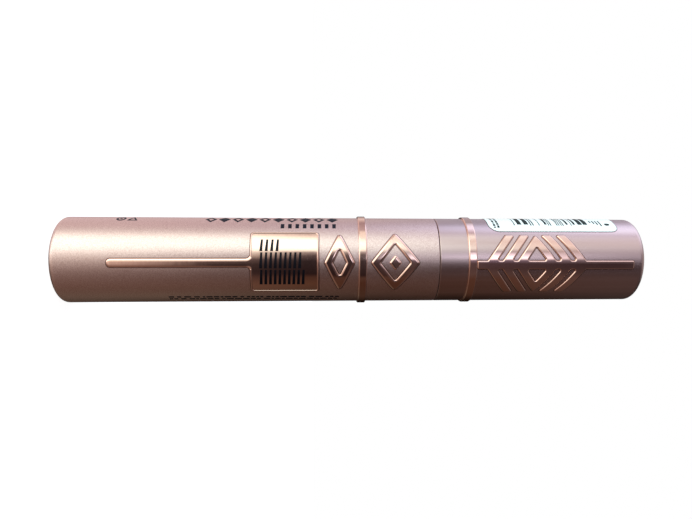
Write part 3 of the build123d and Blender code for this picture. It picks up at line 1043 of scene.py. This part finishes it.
def label_print():
    """All the label's print."""
    draw = random.Random(21)
    marks = label_bars(draw) + label_dashes(draw) + label_head()
    wrapped("label_print", marks, "wand", "label_paper", LABEL_INK, height=INK_HEIGHT, base=LABEL_HEIGHT)


LASHES_LOW = PLAQUE_LOW + 1.8 * MM
LASH_HALF = 0.33 * MM
LASH_LEAN = 0.28 * MM
# For each row: how many lashes, how far they run up the plaque, and where their feet and heads are, in mm
LASH_ROWS = ((4, 4.7, 2.55, 5.25), (9, 9.6, -1.2, 2.3), (10, 10.3, -5.0, -1.5))


def plaque_print():
    """Three rows of slim slanted strokes on the plaque, like lashes side by side."""
    lashes = []
    for count, run, foot, head in LASH_ROWS:
        for i in range(count):
            z = LASHES_LOW + (run * MM) * (i + 0.5) / count
            tip = z + LASH_LEAN
            lash = [
                (foot * MM, z - LASH_HALF), (head * MM, tip - LASH_HALF),
                (head * MM, tip + 0.4 * LASH_HALF), (foot * MM, z + LASH_HALF),
            ]
            lashes.append([lash])
    wrapped("plaque_print", lashes, "bottle", "foil", PLAQUE_INK, height=INK_HEIGHT, base=PANEL_HEIGHT)


# Print on the bottle's side. An S is an arc from the front to the middle of a row.
LOZENGES_S = 12.5 * MM
LOZENGES_LOW = 34.3 * MM
LOZENGE_STEP = 3.07 * MM
LOZENGE_HALF = 1.6 * MM
BARS_S = 9.35 * MM
BARS_LOW = 50.3 * MM
BAR_STEP = 1.66 * MM
BAR_SIZE = 1.6 * MM
BAR_BREADTH = 0.8 * MM
SIGNS_S = 12.9 * MM
RING_MIDDLE = 13.9 * MM
TRIANGLE_MIDDLE = 16.6 * MM


def lozenge(s, z, half_s, half_z):
    """Corners of an upright lozenge."""
    return [(s - half_s, z), (s, z + half_z), (s + half_s, z), (s, z - half_z)]


def lozenges():
    """Ten lozenges in a row, every other one open."""
    shapes = []
    for i in range(10):
        z = LOZENGES_LOW + LOZENGE_STEP * i
        shape = [lozenge(LOZENGES_S, z, LOZENGE_HALF, 1.35 * MM)]
        if i % 2 == 0:
            shape.append(lozenge(LOZENGES_S, z, 0.5 * LOZENGE_HALF, 0.6 * MM))
        shapes.append(shape)
    return shapes


def bars():
    """Eight bars in a row."""
    shapes = []
    for i in range(8):
        z = BARS_LOW + BAR_STEP * i
        shapes.append(strip(BARS_S - BAR_SIZE / 2, BARS_S + BAR_SIZE / 2, z, z + BAR_BREADTH))
    return shapes


def triangle(before, beyond, half):
    """Corners of a triangle around the middle of the second sign."""
    foot = SIGNS_S - before
    tip = SIGNS_S + beyond
    return [(foot, TRIANGLE_MIDDLE - half), (tip, TRIANGLE_MIDDLE), (foot, TRIANGLE_MIDDLE + half)]


def signs():
    """A ring with a dot in it, and an open triangle."""
    ring = [
        ellipse_outline(SIGNS_S, RING_MIDDLE, 2.6 * MM, 2.2 * MM),
        ellipse_outline(SIGNS_S, RING_MIDDLE, 1.6 * MM, 1.3 * MM),
    ]
    dot = [ellipse_outline(SIGNS_S, RING_MIDDLE, 0.7 * MM, 0.6 * MM)]
    open_triangle = [triangle(1.2 * MM, 1.3 * MM, 1.2 * MM), triangle(0.8 * MM, 0.45 * MM, 0.6 * MM)]
    return [ring, dot, open_triangle]


def small_print():
    """Two rows of short dashes low on the bottle's other side."""
    draw = random.Random(5)
    shapes = []
    for row in range(2):
        s = (-9.7 - 1.0 * row) * MM
        z = 25.0 * MM
        while z < 63.0 * MM:
            length = draw.uniform(0.5, 1.6) * MM
            shapes.append(strip(s, s + 0.55 * MM, z, z + length))
            z += length + draw.choice((0.3, 0.3, 0.7)) * MM
    return shapes


def bottle_print():
    """All the print on the bottle."""
    marks = lozenges() + bars() + signs()
    wrapped("bottle_print", marks, "bottle", "bottle_paint", DARK_INK, height=INK_HEIGHT)
    wrapped("bottle_small_print", small_print(), "bottle", "bottle_paint", DARK_INK, height=INK_HEIGHT)


# ---------------- stage

FLOOR_REACH = 3.0


def add_floor():
    """A plain pale floor that takes no part in the reflections."""
    mesh = bpy.data.meshes.new("floor")
    corners = box_outline(-FLOOR_REACH, FLOOR_REACH, -FLOOR_REACH, FLOOR_REACH)
    mesh.from_pydata([(x, y, 0) for x, y in corners], [], [(0, 1, 2, 3)])
    floor = bpy.data.objects.new("floor", mesh)
    bpy.context.scene.collection.objects.link(floor)
    material = new_material(
        "floor",
        Base_Color=(0.4, 0.4, 0.4, 1),
        Roughness=0.9,
        Specular_IOR_Level=0.0,
        Emission_Color=(1, 1, 1, 1),
        Emission_Strength=0.93,
    )[0]
    mesh.materials.append(material)
    floor.visible_glossy = False
    floor.visible_diffuse = False


# The studio's light at eight heights. Each height is the sine of its elevation, with the light's colour
# at angles round the tube, in degrees, counted like the angles on the surface.
STUDIO = {
    -0.36: (
        (-180, 0.015, 0.012, 0.01), (-138, 0.06, 0.05, 0.04), (-110, 0.2, 0.17, 0.13),
        (-92, 0.14, 0.095, 0.072), (-75, 0.17, 0.105, 0.08), (-30, 0.32, 0.24, 0.21),
        (-8, 0.68, 0.58, 0.53), (14, 1.15, 1.1, 1.0), (34, 2.0, 2.3, 2.2), (66, 2.3, 2.65, 2.45),
        (82, 0.85, 0.8, 0.76), (110, 0.78, 0.66, 0.66), (150, 0.92, 0.82, 0.84), (168, 0.22, 0.2, 0.2),
        (180, 0.015, 0.012, 0.01),
    ),
    -0.19: (
        (-180, 0.01, 0.008, 0.007), (-136, 0.03, 0.025, 0.02), (-108, 0.17, 0.145, 0.11),
        (-90, 0.13, 0.088, 0.066), (-70, 0.155, 0.1, 0.075), (-44, 0.09, 0.06, 0.055),
        (-26, 0.045, 0.032, 0.032), (-8, 0.07, 0.055, 0.055), (5, 0.2, 0.17, 0.17), (14, 0.9, 0.9, 0.82),
        (34, 1.9, 2.3, 2.2), (66, 2.2, 2.65, 2.45), (80, 0.8, 0.75, 0.73), (112, 0.68, 0.57, 0.6),
        (150, 0.92, 0.82, 0.84), (168, 0.2, 0.18, 0.18), (180, 0.01, 0.008, 0.007),
    ),
    -0.02: (
        (-180, 0.004, 0.003, 0.002), (-136, 0.012, 0.01, 0.008), (-104, 0.08, 0.062, 0.048),
        (-88, 0.075, 0.05, 0.036), (-62, 0.1, 0.057, 0.038), (-44, 0.07, 0.038, 0.028),
        (-34, 0.022, 0.014, 0.015), (0, 0.03, 0.025, 0.028), (14, 0.1, 0.09, 0.1), (23, 0.36, 0.37, 0.37),
        (29, 1.4, 1.65, 1.55), (38, 2.1, 2.6, 2.5), (52, 2.1, 2.7, 2.6), (66, 1.25, 1.4, 1.3),
        (76, 0.66, 0.62, 0.64), (120, 0.56, 0.46, 0.49), (145, 0.82, 0.75, 0.76), (168, 0.18, 0.16, 0.16),
        (180, 0.004, 0.003, 0.002),
    ),
    0.07: (
        (-180, 0.004, 0.003, 0.002), (-140, 0.012, 0.008, 0.006), (-108, 0.06, 0.036, 0.025),
        (-60, 0.065, 0.031, 0.02), (-46, 0.085, 0.05, 0.038), (-38, 0.026, 0.016, 0.017),
        (0, 0.055, 0.045, 0.05), (16, 0.14, 0.13, 0.14), (22, 0.42, 0.43, 0.45), (29, 1.35, 1.6, 1.55),
        (46, 1.65, 2.1, 2.05), (64, 1.15, 1.3, 1.25), (80, 1.1, 1.15, 1.1), (88, 0.6, 0.55, 0.6),
        (116, 0.42, 0.35, 0.39), (138, 0.88, 0.83, 0.84), (168, 0.2, 0.18, 0.18),
        (180, 0.004, 0.003, 0.002),
    ),
    0.21: (
        (-180, 0.004, 0.003, 0.002), (-126, 0.02, 0.012, 0.009), (-98, 0.07, 0.038, 0.026),
        (-50, 0.09, 0.048, 0.034), (-34, 0.12, 0.084, 0.078), (-20, 0.11, 0.08, 0.08),
        (-6, 0.115, 0.09, 0.1), (2, 0.26, 0.235, 0.32), (8, 2.3, 2.5, 3.0), (15, 1.6, 1.78, 2.2),
        (25, 0.5, 0.52, 0.62), (34, 1.05, 1.25, 1.3), (54, 0.95, 1.0, 1.02), (68, 1.2, 1.42, 1.48),
        (80, 0.62, 0.62, 0.78), (96, 1.15, 1.35, 1.85), (106, 1.1, 1.3, 1.75), (122, 0.44, 0.48, 0.6),
        (165, 0.5, 0.48, 0.55), (180, 0.004, 0.003, 0.002),
    ),
    0.28: (
        (-180, 0.004, 0.003, 0.002), (-126, 0.02, 0.012, 0.009), (-98, 0.07, 0.038, 0.026),
        (-50, 0.09, 0.048, 0.034), (-34, 0.09, 0.064, 0.062), (-20, 0.072, 0.051, 0.056),
        (-6, 0.08, 0.06, 0.075), (2, 0.22, 0.2, 0.3), (8, 2.4, 2.6, 3.1), (15, 1.5, 1.66, 2.1),
        (25, 0.5, 0.52, 0.62), (34, 1.05, 1.25, 1.3), (54, 0.95, 1.0, 1.02), (68, 1.2, 1.42, 1.48),
        (80, 0.62, 0.62, 0.78), (96, 1.15, 1.35, 1.85), (106, 1.1, 1.3, 1.75), (122, 0.44, 0.48, 0.6),
        (165, 0.5, 0.48, 0.55), (180, 0.004, 0.003, 0.002),
    ),
    0.44: (
        (-180, 0.006, 0.005, 0.004), (-130, 0.055, 0.042, 0.038), (-70, 0.118, 0.083, 0.075),
        (-46, 0.12, 0.086, 0.08), (-34, 0.062, 0.046, 0.048), (-8, 0.04, 0.028, 0.034),
        (3, 0.22, 0.21, 0.26), (10, 0.48, 0.48, 0.56), (20, 0.62, 0.61, 0.68), (30, 0.62, 0.6, 0.64),
        (42, 1.05, 1.05, 1.05), (60, 0.92, 0.92, 0.98), (78, 0.85, 0.9, 1.2), (92, 1.9, 2.25, 2.8),
        (112, 1.25, 1.45, 1.95), (130, 0.5, 0.5, 0.62), (165, 0.5, 0.48, 0.55), (180, 0.006, 0.005, 0.004),
    ),
    0.72: (
        (-180, 0.1, 0.09, 0.09), (-120, 0.042, 0.034, 0.032), (-40, 0.07, 0.054, 0.054),
        (10, 0.2, 0.18, 0.2), (60, 1.1, 1.15, 1.35), (120, 1.4, 1.6, 2.0), (160, 0.6, 0.6, 0.7),
        (180, 0.1, 0.09, 0.09),
    ),
}
OVERHEAD_LIGHT = (0.45, 0.42, 0.42)


def colour_ramp(tree, factor, stops):
    """A ramp from stops of degrees, red, green and blue."""
    node = add_node(tree, "ShaderNodeValToRGB", {"Fac": factor})
    ramp = node.color_ramp
    ramp.interpolation = "LINEAR"
    while len(ramp.elements) < len(stops):
        ramp.elements.new(0.5)
    for element, (degrees, *colour) in zip(ramp.elements, stops):
        element.position = (degrees + 180) / 360
        element.color = (*colour, 1)
    return node.outputs["Color"]


def negative(tree, value):
    """A value with its sign changed."""
    return add_node(tree, "ShaderNodeMath", {0: value, 1: -1.0}, operation="MULTIPLY").outputs[0]


def studio_world():
    """Soft light all round: a bright bank at the front left, a dark strip in front, a dim warm right side."""
    world = bpy.data.worlds.new("studio")
    bpy.context.scene.world = world
    world.use_nodes = True
    tree = world.node_tree
    tree.nodes.clear()
    direction = add_node(tree, "ShaderNodeTexCoord").outputs["Generated"]
    parts = add_node(tree, "ShaderNodeSeparateXYZ", {0: direction})
    height = parts.outputs["Z"]
    across = {0: negative(tree, parts.outputs["X"]), 1: negative(tree, parts.outputs["Y"])}
    angle = add_node(tree, "ShaderNodeMath", across, operation="ARCTAN2").outputs[0]
    share = ranged(tree, angle, 0.0, 1.0, -math.pi, math.pi)
    levels = list(STUDIO)
    light = colour_ramp(tree, share, STUDIO[levels[0]])
    for below, above in zip(levels, levels[1:]):
        rise = ranged(tree, height, 0.0, 1.0, below, above)
        light = mixed(tree, rise, light, colour_ramp(tree, share, STUDIO[above]))
    light = mixed(tree, ranged(tree, height, 0.0, 1.0, 0.85, 0.98), light, OVERHEAD_LIGHT)
    seen = add_node(tree, "ShaderNodeLightPath").outputs["Is Camera Ray"]
    background = add_node(tree, "ShaderNodeBackground")
    tree.links.new(mixed(tree, seen, light, (1.0, 1.0, 1.0)), background.inputs["Color"])
    output = add_node(tree, "ShaderNodeOutputWorld")
    tree.links.new(background.outputs["Background"], output.inputs["Surface"])


LABEL_LIGHT_PLACE = Vector((-0.35, -0.12, 0.18))
LABEL_LIGHT_AIM = Vector((0, 0, 0.1))


def add_label_light():
    """A soft light for the paper label and the print, which would be dull in the studio's light alone."""
    light = bpy.data.objects.new("label_light", bpy.data.lights.new("label_light", "AREA"))
    bpy.context.scene.collection.objects.link(light)
    light.data.size = 0.3
    light.data.energy = 0.6
    light.location = LABEL_LIGHT_PLACE
    light.rotation_euler = (LABEL_LIGHT_AIM - LABEL_LIGHT_PLACE).to_track_quat("-Z", "Y").to_euler()
    light.visible_glossy = False
    light.visible_camera = False


CAMERA_TURN = math.radians(4.3)
CAMERA_DISTANCE = 142.0 * MM
CAMERA_HEIGHT = 60.0 * MM
CAMERA_SLANT = 0.037
IMAGE_WIDTH = 692
FOCAL_PIXELS = 600


def add_camera():
    """The camera, level with the tube's middle and rolled a quarter turn, so that the tube lies across."""
    towards = Vector((-math.sin(CAMERA_TURN), -math.cos(CAMERA_TURN), 0))
    axis = Vector((0, 0, 1))
    back = (towards * math.cos(CAMERA_SLANT) - axis * math.sin(CAMERA_SLANT)).normalized()
    right = (axis * math.cos(CAMERA_SLANT) + towards * math.sin(CAMERA_SLANT)).normalized()
    placement = Matrix((right, back.cross(right), back)).transposed().to_4x4()
    placement.translation = towards * CAMERA_DISTANCE + axis * CAMERA_HEIGHT
    camera = bpy.data.objects.new("camera", bpy.data.cameras.new("camera"))
    bpy.context.scene.collection.objects.link(camera)
    camera.data.lens = camera.data.sensor_width * FOCAL_PIXELS / IMAGE_WIDTH
    camera.data.clip_start = 0.01
    camera.data.clip_end = 20
    camera.matrix_world = placement
    bpy.context.scene.camera = camera


# ---------------- the whole scene

bottle_shell()
carried_over_nodes()
vial()
foil_band("bottle_foil_band", "bottle_band", "bottle")
foil_line_and_plaque()
foil_diamonds()
wiper()
seal()
cap_body()
foil_band("cap_foil_band", "cap_band", "wand")
foil_relief()
liner()
stem()
brush_core()
bristles()
label()
label_print()
plaque_print()
bottle_print()

add_floor()
studio_world()
add_label_light()
add_camera()
bpy.context.scene.view_settings.view_transform = "Standard"
bpy.context.scene.view_settings.look = "None"
